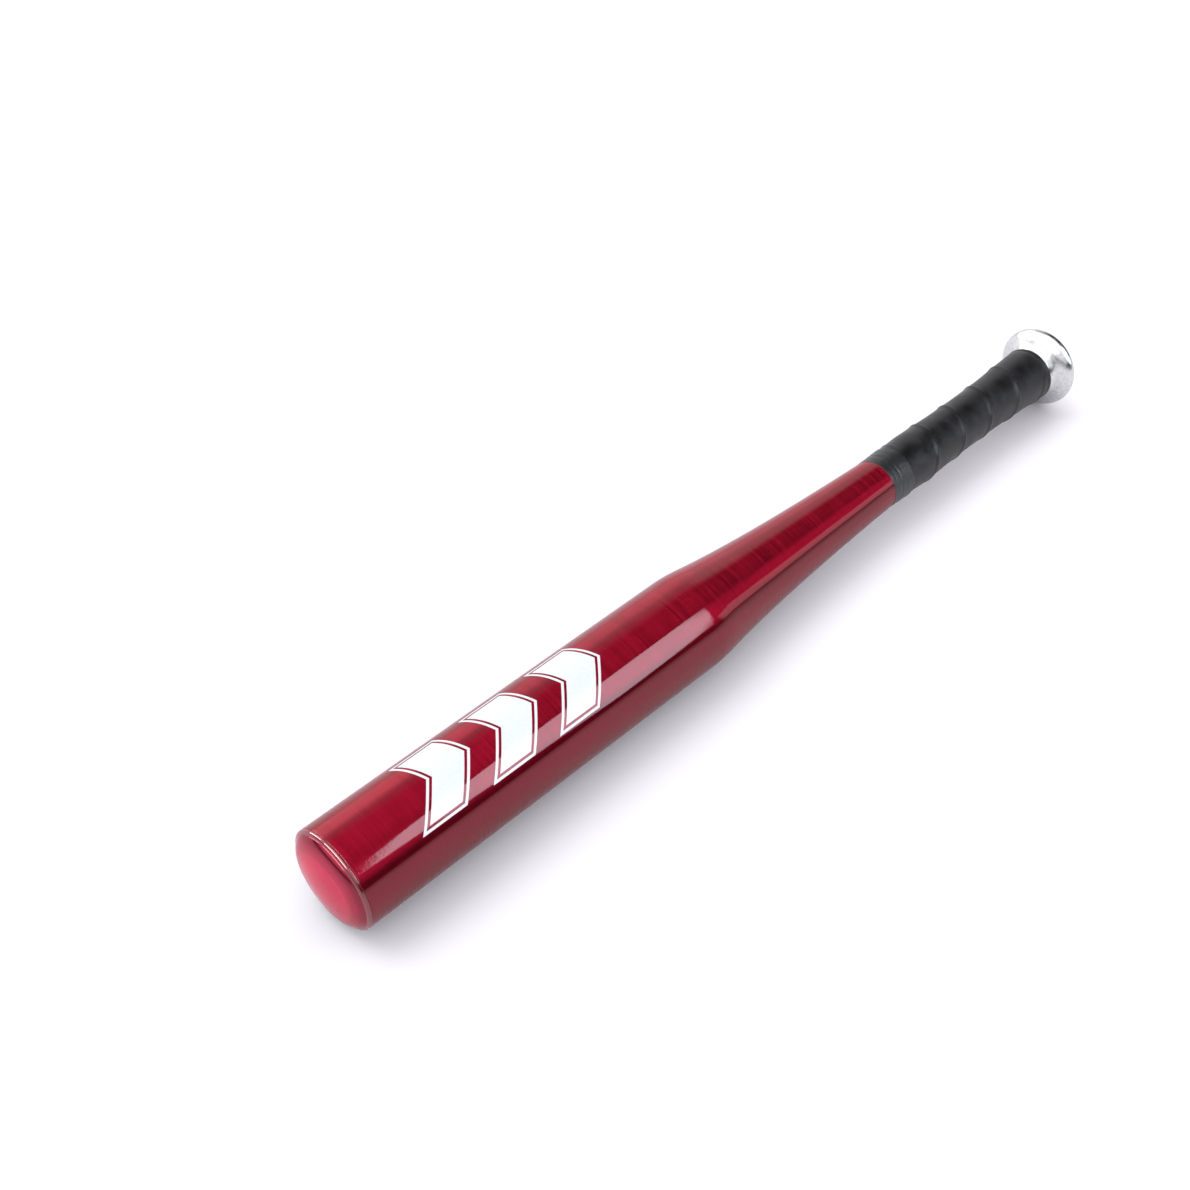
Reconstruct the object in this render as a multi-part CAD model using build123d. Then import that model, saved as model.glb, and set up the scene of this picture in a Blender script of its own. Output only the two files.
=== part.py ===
from build123d import *
import math
import os

# Short alloy baseball bat, lying at rest on a flat surface (z = 0).
# Millimetres. The long axis runs along +X: domed barrel end at -X, knob at +X.
# Every solid of revolution is drawn in the XY plane with x along the bat's
# axis and y as the radius, x = 0 at the shoulder of the barrel's closed end.
# The whole bat is then tipped by REST_TILT, so that the start of the taper and
# the knob both touch z = 0, which is how such a bat comes to rest, and moved so
# that the origin is at the middle of its length, on the surface.

# ---------------------------------------------------------------- overall
LENGTH = 609.6                      # 24 in overall
BARREL_R = 28.575                   # 2 1/4 in barrel
DOME_H = 6.4                        # the end cap stands this far past the shoulder
X_END = LENGTH - DOME_H             # end face of the knob

# ---------------------------------------------------------------- tube
X_MOUTH = 2.2                       # open mouth of the tube, closed by the end cap
X_CYL_END = 246.0                   # end of the straight barrel
# swaged taper and handle: (x, outer radius)
TAPER = [
    (252.0, 28.36), (258.0, 27.82), (264.0, 27.06), (278.0, 25.35), (292.0, 23.85),
    (306.0, 22.60), (320.0, 21.50), (335.0, 20.45), (350.0, 19.55), (365.0, 18.72),
    (381.0, 17.92), (396.0, 17.24), (412.0, 16.58), (430.0, 15.85), (445.0, 15.22),
    (462.0, 14.50), (480.0, 13.88),
]
X_HANDLE = 500.0                    # the taper has run out to the handle here
HANDLE_R = 13.5
X_TUBE_END = 556.0                  # the tube is butt welded to the knob's neck
WALL_BARREL = 1.3
WALL_HANDLE = 1.7

# ---------------------------------------------------------------- end cap
CAP_RIM_R = 26.85                   # radius of the crease where the dome starts
CAP_SKIRT = 11.0                    # length of the skirt pressed into the tube
CAP_WALL = 1.6
SHOULDER_R = 1.72                   # rounded shoulder between barrel and dome
KNUCKLE_R = 12.0                    # the dome is flatter in the middle and rounds off towards the crease
KNUCKLE_END = math.radians(50)      # slope of the dome where it meets the crease

# ---------------------------------------------------------------- knob
KNOB_R = 27.0
X_KNOB_MAX = X_END - 6.1            # widest point of the knob
END_FACE_R = 17.5                   # flat disc on the end of the knob
SPIGOT_R = HANDLE_R - WALL_HANDLE   # locating spigot, a press fit in the tube
SPIGOT_LEN = 16.0
CENTRE_R, CENTRE_DEPTH = 2.4, 3.4   # lathe centre in the end face
BORE_R, BORE_LEN = 8.6, 53.0        # lightening bore up through the spigot
BEAD_W, BEAD_H = 5.0, 0.6           # weld bead round the tube's end

# ---------------------------------------------------------------- grip
X_GRIP = 418.6                      # barrel-side edge of the finishing tape
X_TAPE_END = 437.0
X_WRAP = 430.5                      # barrel-side edge of the wrap, under the tape
X_UNDERLAY = 441.0
X_FLARE = X_END - 17.6              # knob-side edge of the wrap
UNDERLAY_T = 0.9
TAPE_T = 0.25
# outer surface of the wrap: (x, radius)
WRAP = [
    (430.5, 16.38), (438.0, 16.62), (450.0, 16.95), (465.0, 16.75), (482.0, 16.30),
    (500.0, 16.05), (520.0, 16.00), (538.0, 16.25), (552.0, 16.80), (566.0, 17.45),
    (580.0, 18.02),
]
FLARE_R = 18.20

# ---------------------------------------------------------------- printed marks
FILM_T = 0.08
PHI_TOP, PHI_BOTTOM = -38.0, 51.0   # degrees from the top of the barrel towards -Y
SLANT = 12.0                        # the upper edge leans this far towards the knob
MARK_X = [40.0, 85.0, 130.0]        # lower left corner of each mark
MARK_W, MARK_POINT = 28.0, 13.0     # width, and depth of its notch and point
LINE_W, GAP_W = 1.4, 1.4            # outline, and the bare gap inside it

os.makedirs("parts", exist_ok=True)


def revolved(edges):
    """Solid of revolution about X from a closed loop of edges."""
    return revolve(make_face(edges), Axis.X)


def metal_r(x):
    """Outer radius of the tube, by straight lines between its stations."""
    pts = [(X_MOUTH, BARREL_R), (X_CYL_END, BARREL_R)] + TAPER + [
        (X_HANDLE, HANDLE_R), (X_TUBE_END, HANDLE_R)]
    for (xa, ra), (xb, rb) in zip(pts, pts[1:]):
        if xa <= x <= xb:
            return ra + (rb - ra) * (x - xa) / (xb - xa)
    return HANDLE_R


# ---------------------------------------------------------------- barrel tube
outer = [Line((X_MOUTH, BARREL_R), (X_CYL_END, BARREL_R)),
         Spline([(X_CYL_END, BARREL_R)] + TAPER + [(X_HANDLE, HANDLE_R)],
                tangents=[(1, 0), (1, 0)]),
         Line((X_HANDLE, HANDLE_R), (X_TUBE_END, HANDLE_R))]
inner_pts = [(X_CYL_END, BARREL_R - WALL_BARREL)]
for x, r in TAPER:
    k = min(1.0, (x - X_CYL_END) / (X_HANDLE - X_CYL_END))
    inner_pts.append((x, r - WALL_BARREL - k * (WALL_HANDLE - WALL_BARREL)))
inner_pts.append((X_HANDLE, SPIGOT_R))
inner = [Line((X_TUBE_END, SPIGOT_R), (X_HANDLE, SPIGOT_R)),
         Spline(list(reversed(inner_pts)), tangents=[(-1, 0), (-1, 0)]),
         Line((X_CYL_END, BARREL_R - WALL_BARREL), (X_MOUTH, BARREL_R - WALL_BARREL))]
barrel_tube = revolved(
    outer + [Line((X_TUBE_END, HANDLE_R), (X_TUBE_END, SPIGOT_R))] + inner
    + [Line((X_MOUTH, BARREL_R - WALL_BARREL), (X_MOUTH, BARREL_R))])

# the same outline filled in, for trimming whatever is wrapped round the handle
metal = revolved(outer + [Line((X_TUBE_END, HANDLE_R), (X_TUBE_END, 0)),
                          Line((X_TUBE_END, 0), (X_MOUTH, 0)),
                          Line((X_MOUTH, 0), (X_MOUTH, BARREL_R))])

# ---------------------------------------------------------------- end cap
# dome: a shallow crown arc, then a tighter arc down to the crease; shoulder: a quarter round


def on_arc(cx, cr, radius, a):
    """Point of an arc whose surface leans by angle a from the bat's axis."""
    return (cx - radius * math.cos(a), cr + radius * math.sin(a))


kx, kr = KNUCKLE_R * math.cos(KNUCKLE_END), CAP_RIM_R - KNUCKLE_R * math.sin(KNUCKLE_END)
join = 2 * math.atan((kx + DOME_H - KNUCKLE_R) / kr)
crown_R = KNUCKLE_R + kr / math.sin(join)
crown_cx = -DOME_H + crown_R
join_pt = on_arc(kx, kr, KNUCKLE_R, join)
skirt_o = BARREL_R - WALL_BARREL
skirt_i = skirt_o - CAP_WALL + 0.4
in_R, in_K = crown_R - CAP_WALL, KNUCKLE_R - CAP_WALL
in_x0 = -DOME_H + CAP_WALL
in_join = on_arc(kx, kr, in_K, join)
in_a = math.asin((skirt_i - kr) / in_K)
in_x1 = kx - in_K * math.cos(in_a)
end_cap = revolved([
    ThreePointArc((-DOME_H, 0), on_arc(crown_cx, 0, crown_R, join / 2), join_pt),
    ThreePointArc(join_pt, on_arc(kx, kr, KNUCKLE_R, (join + KNUCKLE_END) / 2), (0, CAP_RIM_R)),
    ThreePointArc((0, CAP_RIM_R),
                  (SHOULDER_R * (1 - math.cos(math.radians(45))),
                   CAP_RIM_R + SHOULDER_R * math.sin(math.radians(45))),
                  (SHOULDER_R, CAP_RIM_R + SHOULDER_R)),
    Line((SHOULDER_R, CAP_RIM_R + SHOULDER_R), (X_MOUTH, CAP_RIM_R + SHOULDER_R)),
    Line((X_MOUTH, CAP_RIM_R + SHOULDER_R), (X_MOUTH, skirt_o)),
    Line((X_MOUTH, skirt_o), (X_MOUTH + CAP_SKIRT, skirt_o)),
    Line((X_MOUTH + CAP_SKIRT, skirt_o), (X_MOUTH + CAP_SKIRT, skirt_i)),
    Line((X_MOUTH + CAP_SKIRT, skirt_i), (in_x1, skirt_i)),
    ThreePointArc((in_x1, skirt_i), on_arc(kx, kr, in_K, (join + in_a) / 2), in_join),
    ThreePointArc(in_join, on_arc(crown_cx, 0, in_R, join / 2), (in_x0, 0)),
    Line((in_x0, 0), (-DOME_H, 0)),
])

# ---------------------------------------------------------------- knob
x_sp = X_TUBE_END - SPIGOT_LEN
x_bore = x_sp + BORE_LEN
knob = revolved([
    Line((x_sp, BORE_R), (x_sp, SPIGOT_R - 0.5)),
    Line((x_sp, SPIGOT_R - 0.5), (x_sp + 0.5, SPIGOT_R)),
    Line((x_sp + 0.5, SPIGOT_R), (X_TUBE_END, SPIGOT_R)),
    Line((X_TUBE_END, SPIGOT_R), (X_TUBE_END, HANDLE_R)),
    # flared neck, then the front face, the rim and the back of the disc
    Spline([(X_TUBE_END, HANDLE_R), (570.0, 14.15), (580.0, 14.95),
            (X_END - 16.4, 15.95), (X_END - 13.9, 18.1), (X_END - 12.0, 21.4),
            (X_END - 9.6, 25.0), (X_KNOB_MAX, KNOB_R), (X_END - 2.2, 25.1),
            (X_END - 0.5, 21.6), (X_END, END_FACE_R)],
           tangents=[(1, 0), (0, -1)]),
    Line((X_END, END_FACE_R), (X_END, CENTRE_R)),
    Line((X_END, CENTRE_R), (X_END - CENTRE_DEPTH, 0)),
    Line((X_END - CENTRE_DEPTH, 0), (x_bore + 2.5, 0)),
    Line((x_bore + 2.5, 0), (x_bore, BORE_R)),
    Line((x_bore, BORE_R), (x_sp, BORE_R)),
])

# ---------------------------------------------------------------- weld bead
# laid in the corner of the butt joint: a low rounded ring on tube and neck
xb0, xb1 = X_TUBE_END - BEAD_W / 2, X_TUBE_END + BEAD_W / 2
bead_body = revolved([
    Line((xb0, HANDLE_R - 0.4), (xb0, HANDLE_R)),
    ThreePointArc((xb0, HANDLE_R), (X_TUBE_END, HANDLE_R + BEAD_H), (xb1, HANDLE_R + 0.08)),
    Line((xb1, HANDLE_R + 0.08), (xb1, HANDLE_R - 0.4)),
    Line((xb1, HANDLE_R - 0.4), (xb0, HANDLE_R - 0.4)),
])
knob_weld = bead_body - barrel_tube - knob

# ---------------------------------------------------------------- underlay
under_pts = [(x, metal_r(x) + UNDERLAY_T) for x in (X_UNDERLAY, 452.0, 466.0, 480.0, 500.0)]
under_pts += [(525.0, HANDLE_R + UNDERLAY_T), (548.0, HANDLE_R + UNDERLAY_T + 0.05),
              (X_TUBE_END, HANDLE_R + UNDERLAY_T + 0.25), (566.0, 14.95), (580.0, 15.75)]
x_un = X_FLARE - 2.0
core_r = SPIGOT_R + 0.8
under_body = revolved([
    Line((X_UNDERLAY, core_r), under_pts[0]),
    Spline(under_pts + [(x_un, 16.1)]),
    Line((x_un, 16.1), (x_un, core_r)),
    Line((x_un, core_r), (X_UNDERLAY, core_r)),
])
grip_underlay = under_body - metal - knob - knob_weld

# ---------------------------------------------------------------- wrap
wrap_body = revolved([
    Line((X_WRAP, core_r), WRAP[0]),
    Spline(WRAP + [(X_FLARE - 1.2, FLARE_R)]),
    ThreePointArc((X_FLARE - 1.2, FLARE_R), (X_FLARE - 0.3, FLARE_R - 0.4),
                  (X_FLARE, FLARE_R - 1.3)),
    Line((X_FLARE, FLARE_R - 1.3), (X_FLARE, core_r)),
    Line((X_FLARE, core_r), (X_WRAP, core_r)),
])
grip_wrap = wrap_body - metal - knob - knob_weld - grip_underlay

# ---------------------------------------------------------------- finishing tape
tape_pts = [(X_GRIP, metal_r(X_GRIP) + TAPE_T), (424.5, metal_r(424.5) + TAPE_T + 0.12),
            (X_WRAP, WRAP[0][1] + TAPE_T), (X_TAPE_END, 16.60 + TAPE_T)]
tape_body = revolved([
    Line((X_GRIP, core_r), tape_pts[0]),
    Spline(tape_pts),
    Line(tape_pts[-1], (X_TAPE_END, core_r)),
    Line((X_TAPE_END, core_r), (X_GRIP, core_r)),
])
finishing_tape = tape_body - metal - grip_wrap - grip_underlay

# ---------------------------------------------------------------- printed marks
phi_c = (PHI_TOP + PHI_BOTTOM) / 2
half = math.radians(PHI_BOTTOM - PHI_TOP) / 2 * BARREL_R


def offset_polygon(pts, d):
    """Move every side of a counter-clockwise polygon inwards by d."""
    out = []
    n = len(pts)
    for i in range(n):
        (ax, ay), (bx, by), (cx, cy) = pts[i - 1], pts[i], pts[(i + 1) % n]
        d1, d2 = math.hypot(bx - ax, by - ay), math.hypot(cx - bx, cy - by)
        n1 = (-(by - ay) / d1, (bx - ax) / d1)
        n2 = (-(cy - by) / d2, (cx - bx) / d2)
        k = d / (1 + n1[0] * n2[0] + n1[1] * n2[1])
        out.append((bx + k * (n1[0] + n2[0]), by + k * (n1[1] + n2[1])))
    return out


def wrapped_face(pts):
    """Polygon given on the unrolled barrel, seen flat along the marks' normal."""
    flat = []
    for (ax, ay), (bx, by) in zip(pts, pts[1:] + pts[:1]):
        for k in range(8):
            x, s = ax + (bx - ax) * k / 8, ay + (by - ay) * k / 8
            flat.append((x, BARREL_R * math.sin(s / BARREL_R)))
    return make_face(Polyline(*flat, close=True))


skin = Rot(0, 90, 0) * (
    Cylinder(BARREL_R + FILM_T, 260, align=(Align.CENTER, Align.CENTER, Align.MIN))
    - Cylinder(BARREL_R, 260, align=(Align.CENTER, Align.CENTER, Align.MIN)))
marks = {}
for i, x0 in enumerate(MARK_X, 1):
    # arrow-head band on the unrolled barrel: s runs from -half (lower) to +half
    ring = [(x0, -half), (x0 + MARK_W, -half),
            (x0 + MARK_W + SLANT / 2 + MARK_POINT, 0), (x0 + MARK_W + SLANT, half),
            (x0 + SLANT, half), (x0 + SLANT / 2 + MARK_POINT, 0)]
    border = wrapped_face(ring) - wrapped_face(offset_polygon(ring, LINE_W))
    fill = wrapped_face(offset_polygon(ring, LINE_W + GAP_W))
    films = []
    for face in (border, fill):
        prism = extrude(face, amount=40)
        # turn the sketch's normal from +Z towards -Y by phi_c
        prism = Rot(phi_c, 0, 0) * prism
        films.append(skin & prism)
    marks["mark_%d_outline" % i], marks["mark_%d_fill" % i] = films

# ---------------------------------------------------------------- rest pose
REST_TILT = math.degrees(math.atan2(BARREL_R - KNOB_R, X_KNOB_MAX - X_CYL_END))
nodes = {
    "barrel_tube": barrel_tube, "end_cap": end_cap, "knob": knob,
    "knob_weld": knob_weld, "grip_underlay": grip_underlay, "grip_wrap": grip_wrap,
    "finishing_tape": finishing_tape, **marks,
}
tip = Rot(0, REST_TILT, 0)
boxes = [(tip * s).bounding_box() for n, s in nodes.items() if n in ("barrel_tube", "end_cap", "knob")]
x_lo, x_hi = min(b.min.X for b in boxes), max(b.max.X for b in boxes)
z_lo = min(b.min.Z for b in boxes)
place = Pos(-(x_lo + x_hi) / 2, 0, -z_lo) * tip
print("tilt %.5f deg, shift x %.5f z %.5f" % (REST_TILT, -(x_lo + x_hi) / 2, -z_lo))
for name, solid in nodes.items():
    placed = place * solid
    export_step(placed, "parts/%s.step" % name)
    print(name, len(placed.solids()), "volume %.1f" % placed.volume)
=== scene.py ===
import math

import bpy
import numpy as np
from mathutils import Matrix, Vector, noise


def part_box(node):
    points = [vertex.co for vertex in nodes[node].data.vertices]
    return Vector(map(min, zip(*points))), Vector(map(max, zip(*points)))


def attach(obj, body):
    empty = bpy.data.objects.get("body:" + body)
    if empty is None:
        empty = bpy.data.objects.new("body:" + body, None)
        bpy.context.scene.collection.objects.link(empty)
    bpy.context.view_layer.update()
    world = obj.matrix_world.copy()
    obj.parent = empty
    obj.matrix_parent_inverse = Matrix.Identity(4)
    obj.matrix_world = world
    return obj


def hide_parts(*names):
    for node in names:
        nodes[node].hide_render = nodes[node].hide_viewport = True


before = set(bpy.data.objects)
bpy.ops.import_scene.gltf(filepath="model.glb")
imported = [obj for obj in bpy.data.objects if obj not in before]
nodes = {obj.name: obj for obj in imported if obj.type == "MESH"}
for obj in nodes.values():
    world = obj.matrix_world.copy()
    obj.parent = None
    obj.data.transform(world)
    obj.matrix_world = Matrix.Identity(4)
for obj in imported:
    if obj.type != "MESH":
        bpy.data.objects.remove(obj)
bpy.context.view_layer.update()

# ------------------------------------------------------------------ the bat's own axis
# The bat lies tipped, resting on the end of its straight barrel and on its knob. Pieces are made in a
# frame on its axis: x along it from the shoulder of the barrel's end, r the radius, and phi the angle
# from the top of the bat towards the front (-Y). Millimetres there, metres in the scene.
MM = 0.001
BARREL_R, KNOB_R = 28.575, 27.0
X_CYL_END, X_KNOB_MAX, X_END = 246.0, 597.1, 603.2
TILT = math.atan2(BARREL_R - KNOB_R, X_KNOB_MAX - X_CYL_END)
cap_lo, cap_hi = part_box("end_cap")
U = Vector((math.cos(TILT), 0.0, -math.sin(TILT)))
W = Vector((math.sin(TILT), 0.0, math.cos(TILT)))
V = Vector((0.0, 1.0, 0.0))
O = Vector((cap_lo[0] + 6.4 * MM * math.cos(TILT), 0.0, 29.68615 * MM))


def at(x, r, phi):
    """Point on the bat, in metres; phi in radians."""
    return O + U * (x * MM) + (W * math.cos(phi) - V * math.sin(phi)) * (r * MM)


# ------------------------------------------------------------------ node helpers
def material(name):
    m = bpy.data.materials.new(name)
    m.use_nodes = True
    nt = m.node_tree
    nt.nodes.clear()
    out = nt.nodes.new("ShaderNodeOutputMaterial")
    b = nt.nodes.new("ShaderNodeBsdfPrincipled")
    nt.links.new(b.outputs["BSDF"], out.inputs["Surface"])
    return m, nt, b


def node(nt, kind, **props):
    n = nt.nodes.new(kind)
    for k, v in props.items():
        if k in n.inputs:
            n.inputs[k].default_value = v
        else:
            setattr(n, k, v)
    return n


def math_node(nt, op, a, b=None, c=None, clamp=False):
    n = nt.nodes.new("ShaderNodeMath")
    n.operation = op
    n.use_clamp = clamp
    for i, v in enumerate((a, b, c)):
        if v is None:
            continue
        if isinstance(v, (int, float)):
            n.inputs[i].default_value = v
        else:
            nt.links.new(v, n.inputs[i])
    return n.outputs[0]


def vec_math(nt, op, a, b=None):
    n = nt.nodes.new("ShaderNodeVectorMath")
    n.operation = op
    for i, v in enumerate((a, b)):
        if v is None:
            continue
        if isinstance(v, (tuple, list, Vector)):
            n.inputs[i].default_value = tuple(v)
        else:
            nt.links.new(v, n.inputs[i])
    return n.outputs["Value"] if op in ("DOT_PRODUCT", "LENGTH") else n.outputs["Vector"]


def ramp(nt, fac, stops, mode="LINEAR"):
    n = nt.nodes.new("ShaderNodeValToRGB")
    n.color_ramp.interpolation = mode
    el = n.color_ramp.elements
    while len(el) > 1:
        el.remove(el[-1])
    el[0].position, el[0].color = stops[0][0], (*stops[0][1], 1)
    for p, c in stops[1:]:
        e = el.new(p)
        e.color = (*c, 1)
    nt.links.new(fac, n.inputs["Fac"])
    return n.outputs["Color"]


def grey(v):
    return (v, v, v)


def bat_coords(nt):
    """(x along the axis, offset along V, offset along W) in millimetres from the shoulder's centre."""
    tc = nt.nodes.new("ShaderNodeTexCoord")
    p = vec_math(nt, "SUBTRACT", tc.outputs["Object"], O)
    comb = nt.nodes.new("ShaderNodeCombineXYZ")
    for i, axis in enumerate((U, V, W)):
        d = vec_math(nt, "DOT_PRODUCT", p, axis)
        nt.links.new(math_node(nt, "MULTIPLY", d, 1000.0), comb.inputs[i])
    return comb.outputs["Vector"]


def along(nt):
    """Direction of the bat's axis. Lathe marks run round the bat and spread a highlight across themselves."""
    c = nt.nodes.new("ShaderNodeCombineXYZ")
    for i in range(3):
        c.inputs[i].default_value = U[i]
    return c.outputs["Vector"]


def noise_tex(nt, vec, scale, detail=4.0, rough=0.5, dims="3D", distortion=0.0):
    n = nt.nodes.new("ShaderNodeTexNoise")
    n.noise_dimensions = dims
    n.inputs["Scale"].default_value = scale
    n.inputs["Detail"].default_value = detail
    n.inputs["Roughness"].default_value = rough
    n.inputs["Distortion"].default_value = distortion
    nt.links.new(vec, n.inputs["Vector"])
    return n.outputs["Fac"]


def scaled(nt, vec, s):
    return vec_math(nt, "MULTIPLY", vec, s)


def bump(nt, height, strength, distance, normal=None):
    n = nt.nodes.new("ShaderNodeBump")
    n.inputs["Strength"].default_value = strength
    n.inputs["Distance"].default_value = distance
    nt.links.new(height, n.inputs["Height"])
    if normal is not None:
        nt.links.new(normal, n.inputs["Normal"])
    return n.outputs["Normal"]


def mix_rgb(nt, fac, a, b, mode="MIX"):
    n = nt.nodes.new("ShaderNodeMix")
    n.data_type = "RGBA"
    n.blend_type = mode
    for sock, v in ((n.inputs["Factor"], fac), (n.inputs["A"], a), (n.inputs["B"], b)):
        pass
    ins = {s.identifier: s for s in n.inputs}
    for key, v in (("Factor_Float", fac), ("A_Color", a), ("B_Color", b)):
        if isinstance(v, (int, float)):
            ins[key].default_value = v
        elif isinstance(v, tuple):
            ins[key].default_value = (*v, 1)
        else:
            nt.links.new(v, ins[key])
    return [s for s in n.outputs if s.identifier == "Result_Color"][0]


# ------------------------------------------------------------------ materials
def lacquer(name, coat, red, green, blue, ior=1.5, spread=0.97, rough=(0.32, 0.48), depth=0.35, painted_dark_rim=False):
    """Translucent ruby lacquer over a lathe-turned aluminium skin, with a gloss clear coat."""
    m, nt, b = material(name)
    p = bat_coords(nt)
    # tool marks: fine rings whose depth wanders, so a value that mostly depends on x
    fine = noise_tex(nt, scaled(nt, p, (2.6, 0.03, 0.03)), 1.0, 3.0, 0.65)
    broad = noise_tex(nt, scaled(nt, p, (0.8, 0.018, 0.018)), 1.0, 3.0, 0.55)
    cloud = noise_tex(nt, scaled(nt, p, (0.02, 0.07, 0.07)), 1.0, 3.0, 0.5)
    rings = math_node(nt, "ADD", math_node(nt, "MULTIPLY", fine, 0.6), math_node(nt, "MULTIPLY", broad, 0.4))
    colour = ramp(nt, rings, [(0.34, (red * 0.88, green * 0.7, blue * 0.8)), (0.50, (red, green, blue)), (0.66, (red * 1.12, green * 1.6, blue * 1.35))])
    tone = ramp(nt, cloud, [(0.3, grey(0.84)), (0.7, grey(1.0))])
    shade = mix_rgb(nt, 1.0, colour, tone, "MULTIPLY")
    if painted_dark_rim:
        # painted reflection: the dome's red is darkened towards its rim, standing in for the dark band mirrored near
        # its knuckle
        sx = nt.nodes.new("ShaderNodeSeparateXYZ")
        nt.links.new(p, sx.inputs[0])
        dome_x = math_node(nt, "MULTIPLY", math_node(nt, "ADD", sx.outputs["X"], 6.4), 1 / 6.4)
        shade = mix_rgb(nt, 1.0, shade, ramp(nt, dome_x, [(0.22, grey(1.0)), (0.45, grey(0.62)), (0.80, grey(0.38))], "EASE"), "MULTIPLY")
    nt.links.new(shade, b.inputs["Base Color"])
    b.inputs["Metallic"].default_value = 1.0
    nt.links.new(ramp(nt, rings, [(0.38, grey(rough[0])), (0.60, grey(rough[1]))]), b.inputs["Roughness"])
    b.inputs["Anisotropic"].default_value = spread
    b.inputs["Specular Tint"].default_value = (0.85, 0.30, 0.40, 1)
    nt.links.new(along(nt), b.inputs["Tangent"])
    nt.links.new(bump(nt, rings, depth, 0.00004), b.inputs["Normal"])
    b.inputs["Coat Weight"].default_value = coat
    b.inputs["Coat Roughness"].default_value = 0.03
    b.inputs["Coat IOR"].default_value = ior
    ripple = noise_tex(nt, scaled(nt, p, (1.1, 0.25, 0.25)), 1.0, 3.0, 0.6)
    nt.links.new(bump(nt, ripple, 0.30, 0.00004), b.inputs["Coat Normal"])
    return m


def turned_metal():
    """Turned and buffed aluminium, with fine scuffs."""
    m, nt, b = material("turned_aluminium")
    p = bat_coords(nt)
    fine = noise_tex(nt, scaled(nt, p, (3.0, 0.06, 0.06)), 1.0, 3.0, 0.6)
    scuff = noise_tex(nt, p, 0.45, 6.0, 0.65)
    nt.links.new(ramp(nt, scuff, [(0.3, (0.48, 0.482, 0.49)), (0.7, (0.68, 0.682, 0.69))]), b.inputs["Base Color"])
    b.inputs["Metallic"].default_value = 1.0
    r = math_node(nt, "ADD", math_node(nt, "MULTIPLY", fine, 0.14), math_node(nt, "MULTIPLY", scuff, 0.22))
    nt.links.new(math_node(nt, "ADD", r, 0.06), b.inputs["Roughness"])
    b.inputs["Anisotropic"].default_value = 0.7
    nt.links.new(along(nt), b.inputs["Tangent"])
    h = math_node(nt, "ADD", fine, math_node(nt, "MULTIPLY", scuff, 0.9))
    nt.links.new(bump(nt, h, 0.45, 0.00006), b.inputs["Normal"])
    return m


def leather():
    """Black synthetic leather tape: soft sheen, fine grain, stretch wrinkles, slight rub marks."""
    m, nt, b = material("grip_leather")
    p = bat_coords(nt)
    v = nt.nodes.new("ShaderNodeTexVoronoi")
    v.feature = "SMOOTH_F1"
    v.inputs["Scale"].default_value = 1.3
    v.inputs["Smoothness"].default_value = 0.6
    nt.links.new(p, v.inputs["Vector"])
    fine = noise_tex(nt, p, 3.0, 4.0, 0.6)
    wrinkle = noise_tex(nt, scaled(nt, p, (0.75, 0.09, 0.09)), 1.0, 4.0, 0.6, distortion=0.6)
    rub = noise_tex(nt, scaled(nt, p, (0.10, 0.055, 0.055)), 1.0, 5.0, 0.6)
    tone = ramp(nt, rub, [(0.36, (0.0045, 0.0045, 0.005)), (0.5, (0.0075, 0.0075, 0.008)), (0.66, (0.015, 0.015, 0.0155))])
    nt.links.new(tone, b.inputs["Base Color"])
    nt.links.new(ramp(nt, rub, [(0.35, grey(0.34)), (0.65, grey(0.50))]), b.inputs["Roughness"])
    b.inputs["Specular IOR Level"].default_value = 0.33
    h = math_node(nt, "ADD", math_node(nt, "MULTIPLY", v.outputs["Distance"], 0.5), math_node(nt, "MULTIPLY", fine, 0.4))
    h = math_node(nt, "ADD", h, math_node(nt, "MULTIPLY", wrinkle, 1.6))
    nt.links.new(bump(nt, h, 0.5, 0.00016), b.inputs["Normal"])
    return m


def vinyl():
    """Thin stretched vinyl tape."""
    m, nt, b = material("vinyl_tape")
    p = bat_coords(nt)
    pucker = noise_tex(nt, scaled(nt, p, (0.22, 0.07, 0.07)), 1.0, 3.0, 0.5, distortion=0.9)
    fine = noise_tex(nt, p, 2.2, 4.0, 0.6)
    nt.links.new(ramp(nt, pucker, [(0.3, (0.006, 0.0078, 0.0074)), (0.7, (0.014, 0.017, 0.016))]), b.inputs["Base Color"])
    nt.links.new(ramp(nt, fine, [(0.3, grey(0.30)), (0.7, grey(0.46))]), b.inputs["Roughness"])
    h = math_node(nt, "ADD", pucker, math_node(nt, "MULTIPLY", fine, 0.2))
    nt.links.new(bump(nt, h, 0.6, 0.0005), b.inputs["Normal"])
    return m


def print_white():
    """Opaque white ink, slightly cool."""
    m, nt, b = material("white_print")
    p = bat_coords(nt)
    speck = noise_tex(nt, p, 1.6, 5.0, 0.6)
    nt.links.new(ramp(nt, speck, [(0.35, (0.70, 0.77, 0.78)), (0.65, (0.79, 0.855, 0.86))]), b.inputs["Base Color"])
    nt.links.new(ramp(nt, speck, [(0.3, grey(0.32)), (0.7, grey(0.45))]), b.inputs["Roughness"])
    rings = noise_tex(nt, scaled(nt, p, (1.9, 0.02, 0.02)), 1.0, 2.0, 0.5)
    nt.links.new(bump(nt, math_node(nt, "ADD", rings, math_node(nt, "MULTIPLY", speck, 0.4)), 0.15, 0.00005), b.inputs["Normal"])
    return m


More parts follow.
